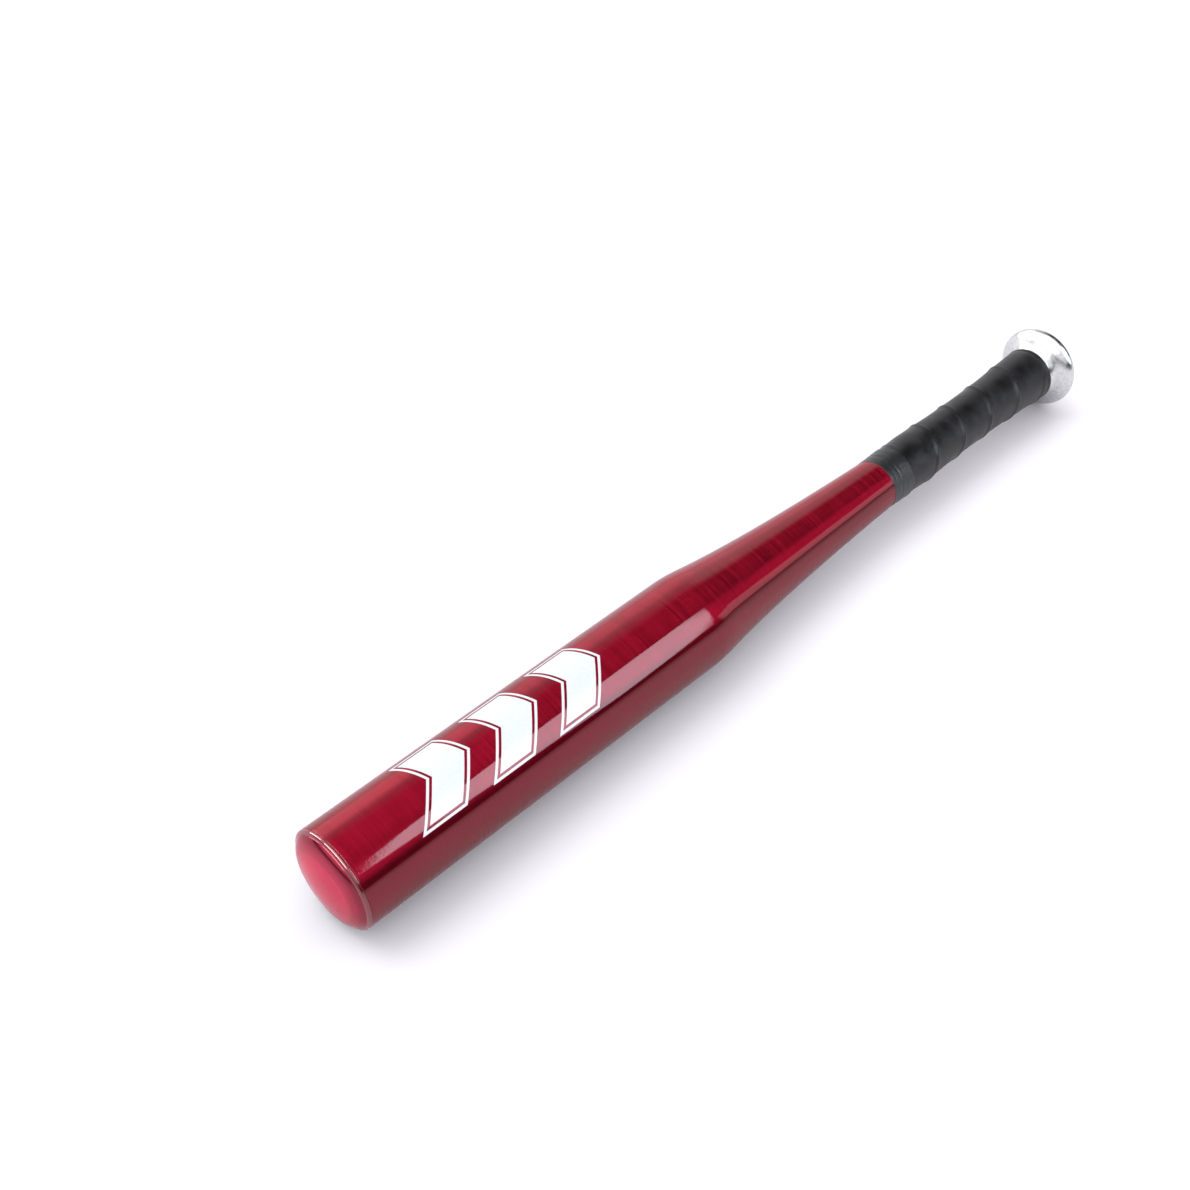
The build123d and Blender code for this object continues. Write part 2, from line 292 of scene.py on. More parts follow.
def foam():
    """Cushioning tape under the grip."""
    m, nt, b = material("underlay_foam")
    p = bat_coords(nt)
    n = noise_tex(nt, p, 2.5, 5.0, 0.6)
    nt.links.new(ramp(nt, n, [(0.3, (0.55, 0.52, 0.42)), (0.7, (0.68, 0.65, 0.54))]), b.inputs["Base Color"])
    nt.links.new(ramp(nt, n, [(0.3, grey(0.75)), (0.7, grey(0.9))]), b.inputs["Roughness"])
    nt.links.new(bump(nt, n, 0.4, 0.0002), b.inputs["Normal"])
    return m


def weld_metal():
    """Plain weld bead."""
    m, nt, b = material("weld_bead")
    p = bat_coords(nt)
    n = noise_tex(nt, p, 0.8, 4.0, 0.6)
    nt.links.new(ramp(nt, n, [(0.3, (0.45, 0.45, 0.46)), (0.7, (0.62, 0.62, 0.63))]), b.inputs["Base Color"])
    b.inputs["Metallic"].default_value = 1.0
    nt.links.new(ramp(nt, n, [(0.3, grey(0.35)), (0.7, grey(0.55))]), b.inputs["Roughness"])
    nt.links.new(bump(nt, n, 0.6, 0.0003), b.inputs["Normal"])
    return m


# painted light: the cap gets a brighter, pinker red than the barrel, though both wear the same lacquer, so its end
# looks lit; its dome is also darkened towards the rim as a painted reflection
LACQUER, CAP_LACQUER = lacquer("ruby_lacquer", 0.68, 0.195, 0.0030, 0.0135), lacquer("ruby_lacquer_cap", 0.62, 0.60, 0.022, 0.075, 1.5, 0.10, (0.27, 0.33), 0.12, True)
# the cap's shoulder gets its own copy of the lacquer, with a stronger clear coat and a red a little deeper than the
# barrel's: the deeper red is painted shade along the rim
EDGE_LACQUER = lacquer("ruby_lacquer_edge", 0.9, 0.16, 0.004, 0.012, 1.75, 0.10, (0.27, 0.33), 0.12)
METAL, LEATHER, VINYL, WHITE = turned_metal(), leather(), vinyl(), print_white()
FOAM, WELD = foam(), weld_metal()


def dress(obj, mat):
    if obj.material_slots:
        for s in obj.material_slots:
            s.material = mat
    else:
        obj.data.materials.append(mat)


# the two hidden pieces keep their CAD shape
dress(nodes["knob_weld"], WELD)
dress(nodes["grip_underlay"], FOAM)


# ------------------------------------------------------------------ mesh helpers
def add_mesh(name, verts, faces, mat, replaced, sharp=()):
    """Closed mesh with its normals outwards, smooth but for the edges named in sharp."""
    vol = 0.0
    for f in faces:
        for k in range(1, len(f) - 1):
            vol += verts[f[0]].dot(verts[f[k]].cross(verts[f[k + 1]]))
    if vol < 0:
        faces = [tuple(reversed(f)) for f in faces]
    me = bpy.data.meshes.new(name)
    me.from_pydata([tuple(v) for v in verts], [], faces)
    me.update()
    me.polygons.foreach_set("use_smooth", [True] * len(me.polygons))
    if sharp:
        want = {tuple(sorted(e)) for e in sharp}
        for e in me.edges:
            if tuple(sorted(e.vertices)) in want:
                e.use_edge_sharp = True
    me.materials.append(mat)
    o = bpy.data.objects.new(name, me)
    bpy.context.scene.collection.objects.link(o)
    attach(o, "root")
    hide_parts(replaced)
    return o


def spline(pts, t0, t1, count):
    """Cubic spline through the points by chord length, clamped to the unit tangents t0 and t1."""
    p = np.array(pts, float)
    h = np.hypot(*np.diff(p, axis=0).T)
    n = len(p)
    a, rhs = np.zeros((n, n)), np.zeros((n, 2))
    a[0, 0], a[0, 1] = 2 * h[0], h[0]
    rhs[0] = 6 * ((p[1] - p[0]) / h[0] - np.array(t0, float))
    for i in range(1, n - 1):
        a[i, i - 1], a[i, i], a[i, i + 1] = h[i - 1], 2 * (h[i - 1] + h[i]), h[i]
        rhs[i] = 6 * ((p[i + 1] - p[i]) / h[i] - (p[i] - p[i - 1]) / h[i - 1])
    a[-1, -2], a[-1, -1] = h[-1], 2 * h[-1]
    rhs[-1] = 6 * (np.array(t1, float) - (p[-1] - p[-2]) / h[-1])
    m = np.linalg.solve(a, rhs)
    s = np.concatenate([[0], np.cumsum(h)])
    out = []
    for t in np.linspace(0, s[-1], count):
        i = min(n - 2, int(np.searchsorted(s, t, side="right")) - 1)
        u, v, hh = t - s[i], s[i + 1] - t, h[i]
        out.append(tuple(m[i] * v ** 3 / (6 * hh) + m[i + 1] * u ** 3 / (6 * hh)
                         + (p[i] / hh - m[i] * hh / 6) * v + (p[i + 1] / hh - m[i + 1] * hh / 6) * u))
    return out


def corner(x, r):
    return (x, r, True)


def arc(cx, cr, rad, a0, a1, count):
    """Arc in the profile plane; angles in degrees from +x towards +r."""
    return [(cx + rad * math.cos(math.radians(a)), cr + rad * math.sin(math.radians(a)))
            for a in np.linspace(a0, a1, count)]


def lathe(name, profile, mat, replaced, segs=224):
    """Solid of revolution about the bat's axis. profile is a closed loop of (x, r) or corner(x, r)."""
    verts, base, faces, sharp = [], [], [], []
    for q in profile:
        base.append(len(verts))
        if q[1] < 1e-6:
            verts.append(at(q[0], 0.0, 0.0))
        else:
            verts += [at(q[0], q[1], 2 * math.pi * k / segs) for k in range(segs)]
            if len(q) == 3:
                sharp += [(base[-1] + k, base[-1] + (k + 1) % segs) for k in range(segs)]
    for i, q in enumerate(profile):
        j = (i + 1) % len(profile)
        pi, pj = q[1] < 1e-6, profile[j][1] < 1e-6
        if pi and pj:
            continue
        for k in range(segs):
            l = (k + 1) % segs
            if pi:
                faces.append((base[i], base[j] + k, base[j] + l))
            elif pj:
                faces.append((base[i] + k, base[j], base[i] + l))
            else:
                faces.append((base[i] + k, base[j] + k, base[j] + l, base[i] + l))
    return add_mesh(name, verts, faces, mat, replaced, sharp)


def steps(a, b, count, r):
    return [(x, r) for x in np.linspace(a, b, count)]


# ------------------------------------------------------------------ barrel tube
TAPER = [(252.0, 28.36), (258.0, 27.82), (264.0, 27.06), (278.0, 25.35), (292.0, 23.85), (306.0, 22.60),
         (320.0, 21.50), (335.0, 20.45), (350.0, 19.55), (365.0, 18.72), (381.0, 17.92), (396.0, 17.24),
         (412.0, 16.58), (430.0, 15.85), (445.0, 15.22), (462.0, 14.50), (480.0, 13.88)]
X_HANDLE, HANDLE_R, X_TUBE_END, X_MOUTH = 500.0, 13.5, 556.0, 2.2
WALL_BARREL, WALL_HANDLE = 1.3, 1.7
outer = spline([(X_CYL_END, BARREL_R)] + TAPER + [(X_HANDLE, HANDLE_R)], (1, 0), (1, 0), 150)
metal_x, metal_y = [q[0] for q in outer], [q[1] for q in outer]


def metal_r(x):
    return float(np.interp(x, [X_MOUTH] + metal_x, [BARREL_R] + metal_y))


inside = [(x, r - WALL_BARREL - (WALL_HANDLE - WALL_BARREL) * (x - X_CYL_END) / (X_HANDLE - X_CYL_END))
          for x, r in outer[::6]] + [(X_HANDLE, HANDLE_R - WALL_HANDLE)]
# the tube's mouth is broken by a small radius, so the joint with the cap reads as a fine line
lathe("barrel_tube_visual",
      arc(X_MOUTH + 0.34, BARREL_R - 0.34, 0.34, 180, 90, 6) + steps(X_MOUTH + 1.0, X_CYL_END - 1.0, 26, BARREL_R)
      + outer + steps(X_HANDLE + 2, X_TUBE_END, 6, HANDLE_R)[:-1]
      + [corner(X_TUBE_END, HANDLE_R), corner(X_TUBE_END, HANDLE_R - WALL_HANDLE)] + inside[::-1]
      + [corner(X_MOUTH, BARREL_R - WALL_BARREL)],
      LACQUER, "barrel_tube")

# ------------------------------------------------------------------ end cap
CAP_RIM_R, CAP_SKIRT, CAP_WALL, SHOULDER_R, DOME_H = 26.85, 11.0, 1.6, 1.72, 6.4
KNUCKLE_R, KNUCKLE_END = 12.0, math.radians(50)
kx, kr = KNUCKLE_R * math.cos(KNUCKLE_END), CAP_RIM_R - KNUCKLE_R * math.sin(KNUCKLE_END)
join = 2 * math.atan((kx + DOME_H - KNUCKLE_R) / kr)
crown_R = KNUCKLE_R + kr / math.sin(join)
crown_cx = -DOME_H + crown_R
skirt_o = BARREL_R - WALL_BARREL - 0.01
skirt_i = skirt_o - CAP_WALL + 0.4
in_R, in_K = crown_R - CAP_WALL, KNUCKLE_R - CAP_WALL
in_a, join_a, end_a = math.degrees(math.asin((skirt_i - kr) / in_K)), math.degrees(join), math.degrees(KNUCKLE_END)
dome = ([(-DOME_H, 0.0)] + arc(crown_cx, 0.0, crown_R, 180 - join_a * 0.02, 180 - join_a, 30)
        + arc(kx, kr, KNUCKLE_R, 180 - join_a, 180 - end_a * 0.985, 30)[1:])
shoulder = arc(SHOULDER_R, CAP_RIM_R, SHOULDER_R, 180, 90, 16)
under = (arc(kx, kr, in_K, 180 - in_a, 180 - join_a, 10)
         + arc(crown_cx, 0.0, in_R, 180 - join_a, 180 - join_a * 0.03, 12)[1:] + [(crown_cx - in_R, 0.0)])
lathe("end_cap_visual",
      dome + [(-0.07, CAP_RIM_R - 0.10)] + shoulder[1:] + arc(X_MOUTH - 0.30, BARREL_R - 0.305, 0.30, 88, 0, 5)
      + [corner(X_MOUTH, skirt_o), corner(X_MOUTH + CAP_SKIRT, skirt_o), corner(X_MOUTH + CAP_SKIRT, skirt_i)] + under,
      CAP_LACQUER, "end_cap")
cap = bpy.data.objects["end_cap_visual"]
cap.data.materials.append(EDGE_LACQUER)
for f in cap.data.polygons:
    x = (Vector(f.center) - O).dot(U) / MM
    if 0.02 < x < X_MOUTH and ((Vector(f.center) - O) - U * x * MM).length > (CAP_RIM_R + 0.02) * MM:
        f.material_index = 1

# ------------------------------------------------------------------ knob
SPIGOT_R, SPIGOT_LEN, BORE_R, BORE_LEN = HANDLE_R - WALL_HANDLE - 0.01, 16.0, 8.6, 53.0
x_sp, x_bore = X_TUBE_END - SPIGOT_LEN, X_TUBE_END - SPIGOT_LEN + BORE_LEN
knob_outer = spline([(X_TUBE_END, HANDLE_R), (570.0, 14.15), (580.0, 14.95), (X_END - 16.4, 15.95),
                     (X_END - 13.9, 18.1), (X_END - 12.0, 21.4), (X_END - 9.6, 25.0), (X_KNOB_MAX, KNOB_R),
                     (X_END - 2.2, 25.1), (X_END - 0.5, 21.6), (X_END, 17.5)], (1, 0), (0, -1), 110)
lathe("knob_visual",
      [corner(x_sp, BORE_R), corner(x_sp, SPIGOT_R - 0.5), corner(x_sp + 0.5, SPIGOT_R), corner(X_TUBE_END + 0.02, SPIGOT_R),
       corner(X_TUBE_END + 0.02, HANDLE_R)] + knob_outer[1:]
      + [(X_END, r) for r in (14.0, 10.5, 7.0, 4.5, 2.9)] + [corner(X_END, 2.4), (X_END - 3.4, 0.0), (x_bore + 2.5, 0.0),
         corner(x_bore, BORE_R)],
      METAL, "knob")

# ------------------------------------------------------------------ grip
WRAP = [(430.5, 16.38), (438.0, 16.62), (450.0, 16.95), (465.0, 16.75), (482.0, 16.30), (500.0, 16.05),
        (520.0, 16.00), (538.0, 16.25), (552.0, 16.80), (566.0, 17.45), (580.0, 18.02), (584.4, 18.20)]
X_WRAP, X_FLARE, PITCH = 430.5, 585.6, 29.3
wrap_line = spline(WRAP, (0.95, 0.31), (0.99, 0.13), 120)
wrap_x, wrap_y = [q[0] for q in wrap_line], [q[1] for q in wrap_line]


def smooth(a, b, v):
    t = min(1.0, max(0.0, (v - a) / (b - a)))
    return t * t * (3 - 2 * t)


def x_edge(psi):
    """Where the knob-side edge of the tape lies; psi counts the turns and runs against phi."""
    return 469.9 + PITCH * psi / (2 * math.pi) + 1.1 * noise.noise(Vector((psi * 0.55, 3.1, 7.7)))


def band(t, x):
    """Height of one turn of tape across its width: it sags a little, then climbs over the turn below."""
    sag = -0.10 * math.sin(math.pi * min(1.0, t / 0.84))
    lip = 0.56 * smooth(0.83, 0.950, t) - 0.22 * smooth(0.945, 0.986, t) - 0.26 * smooth(0.980, 1.0, t)
    root = 0.08 * (1 - smooth(0.0, 0.10, t))
    return (sag + lip + root) * smooth(436.0, 447.0, x) * (1 - smooth(577.0, 583.0, x))


def wrap_r(x, t, phi):
    c, s = math.cos(phi), math.sin(phi)
    r = float(np.interp(x, wrap_x, wrap_y)) - 0.16 + band(t, x)
    r += 0.16 * noise.noise(Vector((x * 0.05, c * 1.2, s * 1.2)))
    r += 0.045 * noise.noise(Vector((x * 0.35, c * 2.6, s * 2.6))) * smooth(436.0, 444.0, x)
    # the last turn of tape ends in a lip that is pulled in against the knob's neck
    r += -0.16 * math.exp(-((x - 582.2) / 0.9) ** 2) + 0.10 * math.exp(-((x - 584.3) / 0.8) ** 2)
    return r


def band_at(x, phi):
    """t on the turn that x falls on."""
    k = int(math.floor((x - 469.9) / PITCH + phi / (2 * math.pi))) - 2
    while x_edge(2 * math.pi * (k + 1) - phi) <= x:
        k += 1
    a, b = x_edge(2 * math.pi * k - phi), x_edge(2 * math.pi * (k + 1) - phi)
    return (x - a) / (b - a)


def grip():
    n = 240
    ts = [0.0, 0.03, 0.07, 0.13, 0.20, 0.28, 0.36, 0.44, 0.52, 0.60, 0.68, 0.75, 0.80, 0.84, 0.865, 0.89, 0.91, 0.93,
          0.945, 0.958, 0.968, 0.977, 0.984, 0.990, 0.995, 0.998]
    x0, x1 = X_WRAP, 580.0
    k0, k1 = -3, 6
    m = len(ts)
    verts, faces, ring0, ring1 = [], [], [], []
    phis = [2 * math.pi * j / n for j in range(n)]
    for x, ring in ((x0, ring0), (x1, ring1)):
        for ph in phis:
            ring.append(len(verts))
            verts.append(at(x, wrap_r(x, band_at(x, ph), ph), ph))
    index = np.zeros(((k1 - k0) * m, n), int)
    for j, ph in enumerate(phis):
        for k in range(k0, k1):
            a, b = x_edge(2 * math.pi * k - ph), x_edge(2 * math.pi * (k + 1) - ph)
            for i, t in enumerate(ts):
                x = a + (b - a) * t
                row = (k - k0) * m + i
                if x <= x0 + 0.05:
                    index[row, j] = ring0[j]
                elif x >= x1 - 0.05:
                    index[row, j] = ring1[j]
                else:
                    index[row, j] = len(verts)
                    verts.append(at(x, wrap_r(x, t, ph), ph))
    rows = len(index)

    def put(f):
        g = []
        for v in f:
            if v not in g:
                g.append(int(v))
        if len(g) > 2:
            faces.append(tuple(g))

    for i in range(-m, rows - 1):
        for j in range(n):
            last = j == n - 1
            if not last and i < 0:
                continue
            a, b = (index[i, j], index[i + 1, j]) if not last else (
                index[max(0, i + m), j] if i + m < rows else ring1[j],
                index[i + 1 + m, j] if i + 1 + m < rows else ring1[j])
            if last:
                c = index[i + 1, 0] if i + 1 >= 0 else ring0[0]
                d = index[i, 0] if i >= 0 else ring0[0]
            else:
                c, d = index[i + 1, j + 1], index[i, j + 1]
            put((a, b, c, d))
    # the lip at the knob's neck, then the hidden inside
    prev = ring1
    lip = list(np.linspace(580.4, 584.4, 12)) + [584.75, 585.05, 585.3, 585.5, 585.6]
    drop = {584.75: 0.05, 585.05: 0.16, 585.3: 0.36, 585.5: 0.75, 585.6: 1.5}
    inner = [(585.6, 16.35), (580.0, 15.95), (566.0, 15.15), (552.0, 14.72), (525.0, 14.5), (500.0, 14.5),
             (470.0, 15.25), (442.0, 16.30), (X_WRAP, 15.95)]
    sharp = []
    for x in lip:
        cur = []
        for ph in phis:
            cur.append(len(verts))
            verts.append(at(x, wrap_r(min(x, 584.5), band_at(x, ph), ph) - drop.get(x, 0.0), ph))
        for j in range(n):
            faces.append((prev[j], cur[j], cur[(j + 1) % n], prev[(j + 1) % n]))
        prev = cur
    for x, r in inner:
        cur = []
        for ph in phis:
            cur.append(len(verts))
            verts.append(at(x, r, ph))
        for j in range(n):
            faces.append((prev[j], cur[j], cur[(j + 1) % n], prev[(j + 1) % n]))
        sharp += [(cur[j], cur[(j + 1) % n]) for j in range(n)] if x in (585.6, X_WRAP) else []
        prev = cur
    for j in range(n):
        faces.append((prev[j], ring0[j], ring0[(j + 1) % n], prev[(j + 1) % n]))
    used = sorted({v for f in faces for v in f})
    remap = {v: i for i, v in enumerate(used)}
    return add_mesh("grip_wrap_visual", [verts[v] for v in used], [tuple(remap[v] for v in f) for f in faces], LEATHER,
                    "grip_wrap", [(remap[a], remap[b]) for a, b in sharp])


grip()


# ------------------------------------------------------------------ finishing tape
def tape():
    """Three turns of thin tape that don't lie quite on each other, stretched over the end of the wrap."""
    n = 240
    phis = [2 * math.pi * j / n for j in range(n)]
    layers = [(421.9, 0.9, 0.7, 0.09), (426.8, 0.8, 2.6, 0.13), (431.6, 1.0, 4.4, 0.10)]
    xs = sorted(set([round(v, 3) for v in np.linspace(418.6, 436.6, 73)]))

    def r_at(x, ph):
        r = float(np.interp(x, [418.6, 424.5, 430.5, 437.6], [16.44, 16.40, 16.42, 16.60]))
        for lx, amp, off, h in layers:
            r += h * smooth(-0.28, 0.28, x - lx - amp * math.sin(ph + off) - 0.3 * math.sin(2.0 * ph + 2 * off))
        c, s = math.cos(ph), math.sin(ph)
        r += 0.06 * noise.noise(Vector((x * 0.45, c * 1.8, s * 1.8)))
        return r

    verts, faces, rings = [], [], []

    def ring(fx, fr):
        cur = []
        for ph in phis:
            cur.append(len(verts))
            verts.append(at(fx(ph), fr(ph), ph))
        rings.append(cur)

    def start(ph):
        return 0.25 * math.sin(ph + 1.0) * 0.6

    def end(ph):
        return 0.35 * math.sin(ph * 2 + 0.5) + 0.25 * math.sin(ph * 5)

    ring(lambda ph: 418.62, lambda ph: metal_r(418.62) + 0.02)
    ring(lambda ph: 418.60, lambda ph: r_at(418.6, ph) - 0.07)
    for x in xs[1:]:
        ring(lambda ph, x=x: x + end(ph) * smooth(432.0, 436.6, x), lambda ph, x=x: r_at(x, ph))
    for dx, dr in ((0.12, 0.02), (0.22, 0.07), (0.28, 0.14), (0.30, 0.34)):
        ring(lambda ph, dx=dx: 436.6 + end(ph) + dx, lambda ph, dr=dr: r_at(436.6, ph) - dr)
    ring(lambda ph: 430.6, lambda ph: 16.30)
    ring(lambda ph: 424.5, lambda ph: metal_r(424.5) + 0.03)
    for i, cur in enumerate(rings):
        nxt = rings[(i + 1) % len(rings)]
        for j in range(n):
            faces.append((cur[j], nxt[j], nxt[(j + 1) % n], cur[(j + 1) % n]))
    return add_mesh("finishing_tape_visual", verts, faces, VINYL, "finishing_tape")


tape()

# ------------------------------------------------------------------ printed marks
FILM_T, PHI_TOP, PHI_BOTTOM, SLANT = 0.08, -38.0, 51.0, 12.0
MARK_X, MARK_W, MARK_POINT, LINE_W, GAP_W = [40.0, 85.0, 130.0], 28.0, 13.0, 1.4, 1.4
phi_c, half = math.radians((PHI_TOP + PHI_BOTTOM) / 2), math.radians(PHI_BOTTOM - PHI_TOP) / 2 * BARREL_R


def inset(pts, d):
    """Move every side of a counter-clockwise polygon inwards by d."""
    out = []
    for i in range(len(pts)):
        (ax, ay), (bx, by), (cx, cy) = pts[i - 1], pts[i], pts[(i + 1) % len(pts)]
        d1, d2 = math.hypot(bx - ax, by - ay), math.hypot(cx - bx, cy - by)
        n1, n2 = (-(by - ay) / d1, (bx - ax) / d1), (-(cy - by) / d2, (cx - bx) / d2)
        k = d / (1 + n1[0] * n2[0] + n1[1] * n2[1])
        out.append((bx + k * (n1[0] + n2[0]), by + k * (n1[1] + n2[1])))
    return out


def on_barrel(x, s, lift):
    return at(x, BARREL_R + lift, phi_c - s / BARREL_R)


def film(name, grid, closed, replaced):
    """Thin printed film from rows of (x, s) points; closed rows run round a frame."""
    rows, cols = len(grid), len(grid[0])
    verts = [on_barrel(x, s, FILM_T) for row in grid for x, s in row] + [on_barrel(x, s, 0.0) for row in grid for x, s in row]
    low, faces = rows * cols, []

    def v(i, j):
        return (i % rows) * cols + j

    for i in range(rows if closed else rows - 1):
        for j in range(cols - 1):
            q = (v(i, j), v(i, j + 1), v(i + 1, j + 1), v(i + 1, j))
            faces.append(q)
            faces.append(tuple(low + a for a in reversed(q)))
        for j, flip in ((0, False), (cols - 1, True)):
            q = (v(i, j), v(i + 1, j), low + v(i + 1, j), low + v(i, j))
            faces.append(tuple(reversed(q)) if flip else q)
    sharp = []
    if not closed:
        for i, flip in ((0, True), (rows - 1, False)):
            for j in range(cols - 1):
                q = (v(i, j), v(i, j + 1), low + v(i, j + 1), low + v(i, j))
                faces.append(tuple(reversed(q)) if flip else q)
                sharp.append((v(i, j), v(i, j + 1)))
    for i in range(rows if closed else rows - 1):
        sharp += [(v(i, 0), v(i + 1, 0)), (v(i, cols - 1), v(i + 1, cols - 1))]
    return add_mesh(name, verts, faces, WHITE, replaced, sharp)


def between(a, b, t):
    return (a[0] + (b[0] - a[0]) * t, a[1] + (b[1] - a[1]) * t)


for i, x0 in enumerate(MARK_X, 1):
    rim = [(x0, -half), (x0 + MARK_W, -half), (x0 + MARK_W + SLANT / 2 + MARK_POINT, 0), (x0 + MARK_W + SLANT, half),
           (x0 + SLANT, half), (x0 + SLANT / 2 + MARK_POINT, 0)]
    line_in, fill = inset(rim, LINE_W), inset(rim, LINE_W + GAP_W)
    grid = []
    for k in range(6):
        for t in np.linspace(0, 1, 30, endpoint=False):
            a, b = between(rim[k], rim[(k + 1) % 6], t), between(line_in[k], line_in[(k + 1) % 6], t)
            grid.append([a, between(a, b, 0.5), b])
    film("mark_%d_outline_visual" % i, grid, True, "mark_%d_outline" % i)
    grid = []
    for left, right, ts in (((fill[0], fill[5]), (fill[1], fill[2]), np.linspace(0, 1, 30, endpoint=False)),
                            ((fill[5], fill[4]), (fill[2], fill[3]), np.linspace(0, 1, 31))):
        for t in ts:
            a, b = between(*left, t), between(*right, t)
            grid.append([between(a, b, u) for u in np.linspace(0, 1, 9)])
    film("mark_%d_fill_visual" % i, grid, False, "mark_%d_fill" % i)

# ------------------------------------------------------------------ camera
F_PX, SIDE = 1545.385, 1190.0
cam_data = bpy.data.cameras.new("camera")
cam_data.sensor_width = 36.0
cam_data.lens = F_PX * 36.0 / SIDE
cam_data.clip_start, cam_data.clip_end = 0.01, 60.0
cam = bpy.data.objects.new("camera", cam_data)
bpy.context.scene.collection.objects.link(cam)
bpy.context.scene.camera = cam
right = Vector((0.70880, -0.70540, 0.00309))
up = Vector((0.48887, 0.49437, 0.71875))
fwd = Vector((0.50854, 0.50794, -0.69526))
EYE = Vector((O.x - 0.217864, -0.394123, 0.63857))
rot = Matrix((right, up, -fwd)).transposed().to_4x4()
cam.matrix_world = Matrix.Translation(EYE) @ rot

# ------------------------------------------------------------------ floor and light
bpy.context.scene.view_settings.view_transform = "Standard"
bpy.context.scene.cycles.caustics_reflective = False


def floor():
    bpy.ops.mesh.primitive_plane_add(size=16.0, location=(0, 0, 0))
    f = bpy.context.object
    f.name = "floor"
    m, nt, b = material("floor_white")
    n = noise_tex(nt, nt.nodes.new("ShaderNodeTexCoord").outputs["Object"], 3.0, 3.0, 0.5)
    nt.links.new(ramp(nt, n, [(0.3, grey(0.90)), (0.7, grey(0.915))]), b.inputs["Base Color"])
    b.inputs["Roughness"].default_value = 0.8
    b.inputs["Specular IOR Level"].default_value = 0.1
    b.inputs["Emission Color"].default_value = (0.98, 0.95, 1.03, 1)
    b.inputs["Emission Strength"].default_value = 0.05
    f.data.materials.append(m)
    return f


floor()


def glow(name, build):
    """Emission material; build(nt) gives its strength."""
    m = bpy.data.materials.new(name)
    m.use_nodes = True
    nt = m.node_tree
    nt.nodes.clear()
    out = nt.nodes.new("ShaderNodeOutputMaterial")
    e = nt.nodes.new("ShaderNodeEmission")
    nt.links.new(e.outputs[0], out.inputs["Surface"])
    build(nt, e)
    return m


def lamp_mesh(name, verts, faces, mat):
    me = bpy.data.meshes.new(name)
    me.from_pydata([tuple(v) for v in verts], [], faces)
    me.update()
    me.materials.append(mat)
    o = bpy.data.objects.new(name, me)
    bpy.context.scene.collection.objects.link(o)
    o.visible_camera = o.visible_diffuse = o.visible_shadow = False
    return o


def panel(name, marks, distance, radiance, colour):
    """Softbox whose mirror image in the barrel has its corners at these (x, phi) on the bat."""
    first = []
    for x, ph in marks:
        a = math.radians(ph)
        p = at(x, BARREL_R, a)
        nrm = W * math.cos(a) - V * math.sin(a)
        view = (EYE - p).normalized()
        first.append((p, 2 * nrm.dot(view) * nrm - view))
    mid_dir = sum((d for _, d in first), Vector()).normalized()
    mid_p = sum((p for p, _ in first), Vector()) / len(first)
    centre = mid_p + mid_dir * distance
    verts = [p + d * ((centre - p).dot(mid_dir) / d.dot(mid_dir)) for p, d in first]

    def build(nt, e):
        e.inputs["Color"].default_value = (*colour, 1)
        e.inputs["Strength"].default_value = radiance

    return lamp_mesh(name, verts, [tuple(range(len(verts)))], glow(name, build))


panel("strip_softbox", [(17, 36.5), (32, 34.5), (70, 33), (120, 32), (236, 31), (245, 34), (246, 47), (238, 52), (215, 53.5), (175, 54.5),
                         (120, 51.5), (70, 48.5), (32, 45), (10, 43.5)], 1.5, 7.3, (0.92, 0.98, 1.10))


def card(name, centre, target, sx, sy, radiance):
    """Plain white card facing target."""
    c, d = Vector(centre), (Vector(target) - Vector(centre)).normalized()
    side = d.cross(Vector((0, 0, 1))).normalized()
    top = side.cross(d)
    verts = [c + side * (a * sx / 2) + top * (b * sy / 2) for a, b in ((-1, -1), (1, -1), (1, 1), (-1, 1))]

    def build(nt, e):
        e.inputs["Color"].default_value = (0.98, 0.98, 1.0, 1)
        e.inputs["Strength"].default_value = radiance

    return lamp_mesh(name, verts, [(0, 1, 2, 3)], glow(name, build))


def polar(azimuth, elevation, distance, target):
    """azimuth in degrees, 0 towards -Y, 90 towards +X."""
    a, e = math.radians(azimuth), math.radians(elevation)
    return Vector(target) + Vector((math.sin(a) * math.cos(e), -math.cos(a) * math.cos(e), math.sin(e))) * distance


def shoulder_strip(name, phis, lean, distance, radiance):
    """Curved strip whose mirror image lies along the cap's shoulder, between two lean angles of its surface."""
    rows = []
    for ph in phis:
        a, row = math.radians(ph), []
        for t in np.linspace(lean[0], lean[1], 4):
            c, q = math.cos(math.radians(t)), math.sin(math.radians(t))
            nrm = (W * math.cos(a) - V * math.sin(a)) * q - U * c
            p = at(SHOULDER_R * (1 - c), CAP_RIM_R + SHOULDER_R * q, a)
            view = (EYE - p).normalized()
            row.append(p + (2 * nrm.dot(view) * nrm - view) * distance)
        rows.append(row)
    verts = [v for row in rows for v in row]
    faces = [(4 * i + k, 4 * i + k + 1, 4 * i + k + 5, 4 * i + k + 4) for i in range(len(rows) - 1) for k in range(3)]

    def build(nt, e):
        e.inputs["Color"].default_value = (0.98, 0.98, 1.0, 1)
        e.inputs["Strength"].default_value = radiance

    return lamp_mesh(name, verts, faces, glow(name, build))


shoulder_strip("shoulder_strip_back", range(-26, -5, 3), (59, 70), 2.0, 16.0)
shoulder_strip("shoulder_strip_front", range(-2, 33, 3), (54, 65), 2.0, 16.0)
# a low one on the far right, for the taper and the grip
low_at = at(350, 20, 0.6)
card("right_low_strip", polar(48, 13.5, 2.2, low_at), low_at, 0.62, 0.50, 1.5)


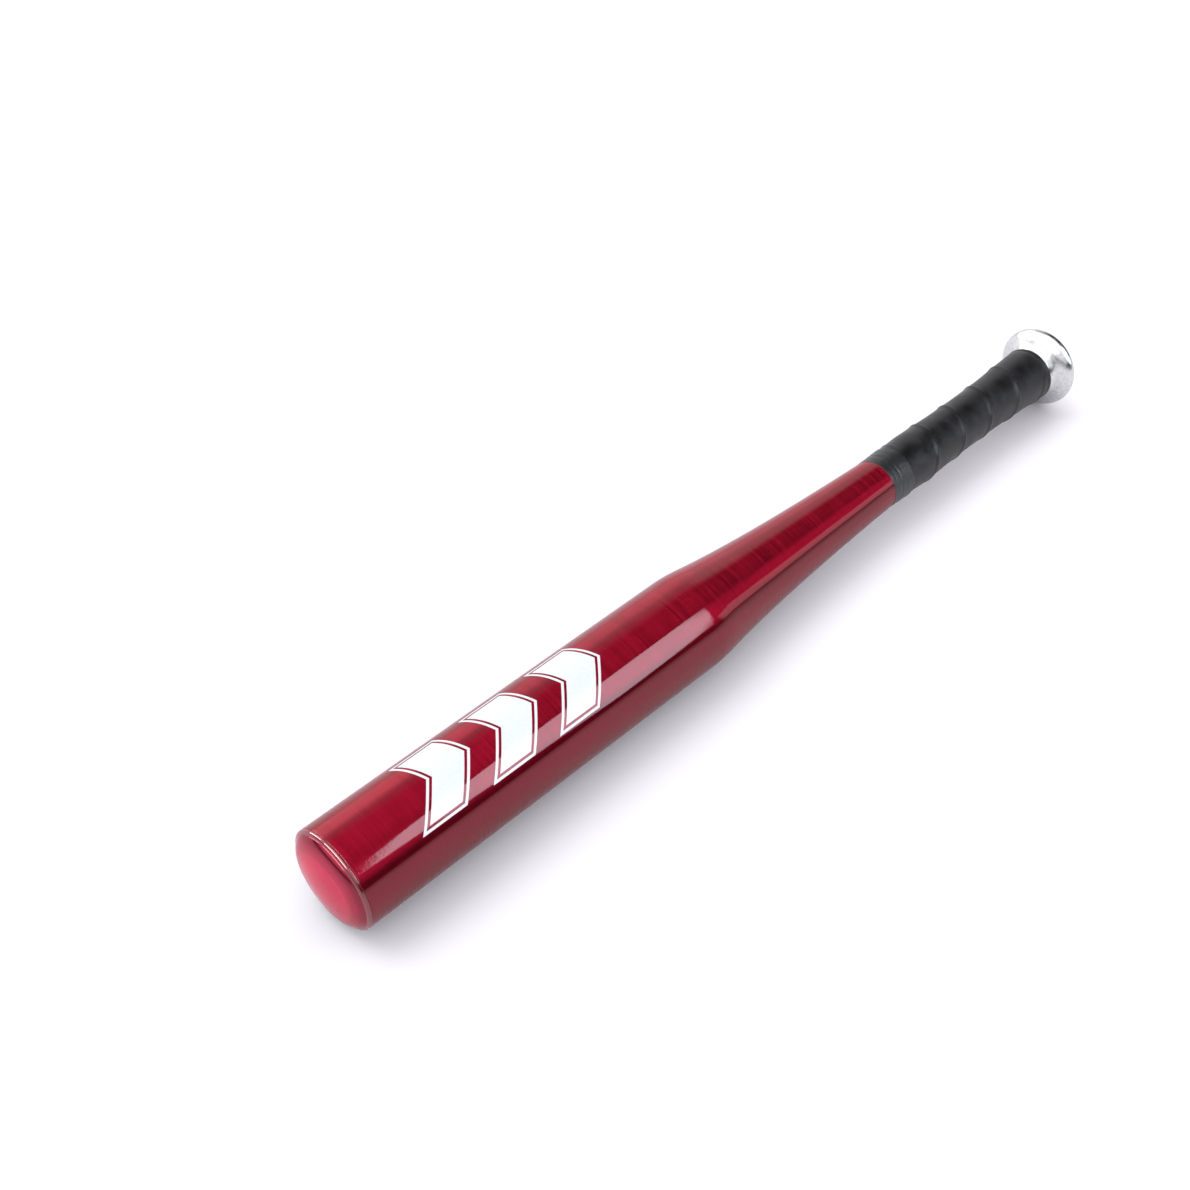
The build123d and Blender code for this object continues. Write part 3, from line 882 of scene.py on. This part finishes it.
# the studio round the bat, as the gloss sees it: a pale sweep low down, a dark room, a big soft box overhead
def surround_glow(nt, e):
    g = nt.nodes.new("ShaderNodeNewGeometry")
    d = vec_math(nt, "NORMALIZE", g.outputs["Position"])
    s = nt.nodes.new("ShaderNodeSeparateXYZ")
    nt.links.new(d, s.inputs[0])
    x, y, z = s.outputs

    def step(v, a, b):
        n = nt.nodes.new("ShaderNodeMapRange")
        n.interpolation_type = "SMOOTHSTEP"
        n.inputs["From Min"].default_value, n.inputs["From Max"].default_value = a, b
        nt.links.new(v, n.inputs["Value"])
        return n.outputs[0]

    def mul(*v):
        r = v[0]
        for w in v[1:]:
            r = math_node(nt, "MULTIPLY", r, w)
        return r

    def inv(v):
        return math_node(nt, "SUBTRACT", 1.0, v)

    low = mul(inv(step(z, 0.06, 0.10)), 0.85)
    # the overhead box fades towards the back and the front
    side = math_node(nt, "ADD", mul(step(y, 0.10, 0.42), 0.27), mul(step(y, 0.45, 0.60), 0.15))
    side = math_node(nt, "ADD", side, mul(step(y, 0.80, 0.92), 0.58))
    side = math_node(nt, "ADD", side, mul(inv(step(y, -0.45, -0.22)), 0.28))
    over = mul(step(z, 0.38, 0.48), step(x, -0.42, -0.28), inv(step(x, 0.08, 0.20)), inv(side), 2.6)
    wall = mul(step(y, 0.22, 0.46), step(z, 0.06, 0.10), inv(step(z, 0.45, 0.92)), step(x, -0.45, -0.25))
    back = math_node(nt, "ADD", mul(wall, 1.15), mul(wall, inv(step(x, 0.15, 0.35)), 0.7))
    total = math_node(nt, "ADD", math_node(nt, "ADD", low, over), back)
    # dim to the left, apart from the floor
    left = mul(inv(step(x, -0.50, -0.36)), step(z, 0.16, 0.30), 1.25)
    total = math_node(nt, "ADD", math_node(nt, "ADD", total, left), 0.035)
    nt.links.new(total, e.inputs["Strength"])
    e.inputs["Color"].default_value = (0.985, 0.985, 1.0, 1)


def surround():
    rad, n, m = 5.0, 48, 24
    verts = [Vector((rad * math.cos(2 * math.pi * j / n) * math.cos(a), rad * math.sin(2 * math.pi * j / n) * math.cos(a),
                     rad * math.sin(a))) for a in np.linspace(-0.3, math.pi / 2 - 0.02, m) for j in range(n)]
    faces = [(i * n + j, i * n + (j + 1) % n, (i + 1) * n + (j + 1) % n, (i + 1) * n + j)
             for i in range(m - 1) for j in range(n)]
    faces.append(tuple((m - 1) * n + j for j in range(n)))
    lamp_mesh("studio_surround", verts, faces, glow("studio_surround", surround_glow))


surround()

# fills the floor and throws the soft shadow towards the front right; the gloss doesn't mirror it
sun = bpy.data.lights.new("sun", "SUN")
sun.energy, sun.angle = 0.8, math.radians(34)
sun_o = bpy.data.objects.new("sun", sun)
bpy.context.scene.collection.objects.link(sun_o)
sun_o.rotation_euler = (Vector((0, 0, 0)) - Vector((-0.28, 0.60, 1.40))).to_track_quat("-Z", "Y").to_euler()
sun_o.visible_glossy = False

world = bpy.data.worlds.new("studio")
bpy.context.scene.world = world
world.use_nodes = True
wt = world.node_tree
wt.nodes.clear()
wo = wt.nodes.new("ShaderNodeOutputWorld")
bg = wt.nodes.new("ShaderNodeBackground")
wt.links.new(bg.outputs[0], wo.inputs["Surface"])
bg.inputs["Color"].default_value = (0.985, 0.955, 1.035, 1)
bg.inputs["Strength"].default_value = 1.07
